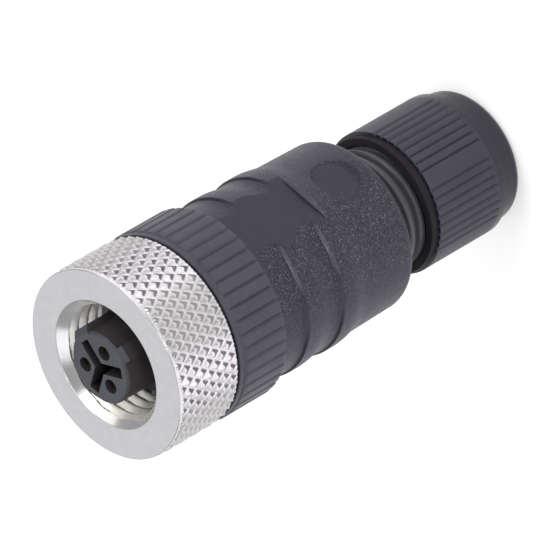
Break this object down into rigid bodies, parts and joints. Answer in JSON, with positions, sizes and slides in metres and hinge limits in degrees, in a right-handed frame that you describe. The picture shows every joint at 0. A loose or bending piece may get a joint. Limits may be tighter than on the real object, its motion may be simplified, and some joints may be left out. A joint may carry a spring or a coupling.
{
  "type": "m12 connector",
  "caption": "Straight female circular cable connector with a knurled metal coupling nut, a keyed socket insert, a ribbed plastic housing and a ribbed cable clamping nut.",
  "frame": {"origin": "centre of the flat ring at the cable end, on which the part stands", "axes": "+Z along the common axis, out of the mating face; +X through the insert's wide key; -Y through the narrow key"},
  "size_m": [0.02, 0.02, 0.0509],
  "materials": {
    "nickel_knurl": "satin nickel plate over turned brass",
    "black_shell": "fine-grained black glass-filled nylon",
    "black_smooth": "smooth black nylon",
    "insert_grey": "smooth dark grey thermoplastic",
    "contact_gold": "gold-plated brass",
    "steel_bright": "zinc-plated steel",
    "seal_rubber": "soft black rubber",
    "washer_plastic": "natural nylon",
    "slip_black": "black acetal"
  },
  "bodies": {
    "clamp_nut_body": {"clamp_nut": "black_smooth"},
    "thrust_washer_body": {"thrust_washer": "washer_plastic"},
    "housing_body": {"rear_housing": "black_shell", "clamp_basket": "black_smooth", "cable_grommet": "seal_rubber"},
    "housing_seal_body": {"housing_seal": "seal_rubber"},
    "front_body": {"front_ring": "black_shell", "contact_carrier": "insert_grey", "socket_insert": "insert_grey", "terminal_block": "insert_grey", "retaining_ring": "steel_bright", "socket_contact_1": "contact_gold", "socket_contact_2": "contact_gold", "socket_contact_3": "contact_gold"},
    "slip_washer_body": {"slip_washer": "slip_black"},
    "coupling_nut_body": {"coupling_nut": "nickel_knurl"},
    "wire_plate_body_1": {"wire_plate_1": "steel_bright"},
    "terminal_screw_body_1": {"terminal_screw_1": "steel_bright"},
    "wire_plate_body_2": {"wire_plate_2": "steel_bright"},
    "terminal_screw_body_2": {"terminal_screw_2": "steel_bright"},
    "wire_plate_body_3": {"wire_plate_3": "steel_bright"},
    "terminal_screw_body_3": {"terminal_screw_3": "steel_bright"}
  },
  "joints": [
    {"name": "clamp_screw_travel", "type": "slide", "parent": "clamp_nut_body", "child": "thrust_washer_body", "axis": [0, 0, 1], "range_m": [0, 0.0052]},
    {"name": "clamp_screw_turn", "type": "hinge", "parent": "thrust_washer_body", "child": "housing_body", "pos_m": [0, 0, 0.01], "axis": [0, 0, 1], "range_deg": [0, 1441]},
    {"name": "front_screw_travel", "type": "slide", "parent": "housing_body", "child": "housing_seal_body", "axis": [0, 0, 1], "range_m": [0, 0.006]},
    {"name": "front_screw_turn", "type": "hinge", "parent": "housing_seal_body", "child": "front_body", "pos_m": [0, 0, 0.034], "axis": [0, 0, 1], "range_deg": [0, 2161]},
    {"name": "coupling_float", "type": "slide", "parent": "front_body", "child": "slip_washer_body", "axis": [0, 0, 1], "range_m": [0, 0.0012]},
    {"name": "coupling_turn", "type": "hinge", "parent": "slip_washer_body", "child": "coupling_nut_body", "pos_m": [0, 0, 0.045], "axis": [0, 0, 1], "continuous": true},
    {"name": "terminal_1_travel", "type": "slide", "parent": "front_body", "child": "wire_plate_body_1", "axis": [0.5, 0.866, 0], "range_m": [0, 0.0008]},
    {"name": "terminal_1_turn", "type": "hinge", "parent": "wire_plate_body_1", "child": "terminal_screw_body_1", "pos_m": [0.002, 0.00346, 0.02445], "axis": [0.5, 0.866, 0], "range_deg": [0, 721]},
    {"name": "terminal_2_travel", "type": "slide", "parent": "front_body", "child": "wire_plate_body_2", "axis": [-1, 0, 0], "range_m": [0, 0.0008]},
    {"name": "terminal_2_turn", "type": "hinge", "parent": "wire_plate_body_2", "child": "terminal_screw_body_2", "pos_m": [-0.004, 0, 0.02445], "axis": [-1, 0, 0], "range_deg": [0, 721]},
    {"name": "terminal_3_travel", "type": "slide", "parent": "front_body", "child": "wire_plate_body_3", "axis": [0.5, -0.866, 0], "range_m": [0, 0.0008]},
    {"name": "terminal_3_turn", "type": "hinge", "parent": "wire_plate_body_3", "child": "terminal_screw_body_3", "pos_m": [0.002, -0.00346, 0.02445], "axis": [0.5, -0.866, 0], "range_deg": [0, 721]}
  ],
  "couplings": [
    {"joint": "clamp_screw_turn", "follows": "clamp_screw_travel", "rad_per_m": 4833.2},
    {"joint": "front_screw_turn", "follows": "front_screw_travel", "rad_per_m": 6283.2},
    {"joint": "terminal_1_turn", "follows": "terminal_1_travel", "rad_per_m": 15708},
    {"joint": "terminal_2_turn", "follows": "terminal_2_travel", "rad_per_m": 15708},
    {"joint": "terminal_3_turn", "follows": "terminal_3_travel", "rad_per_m": 15708}
  ]
}
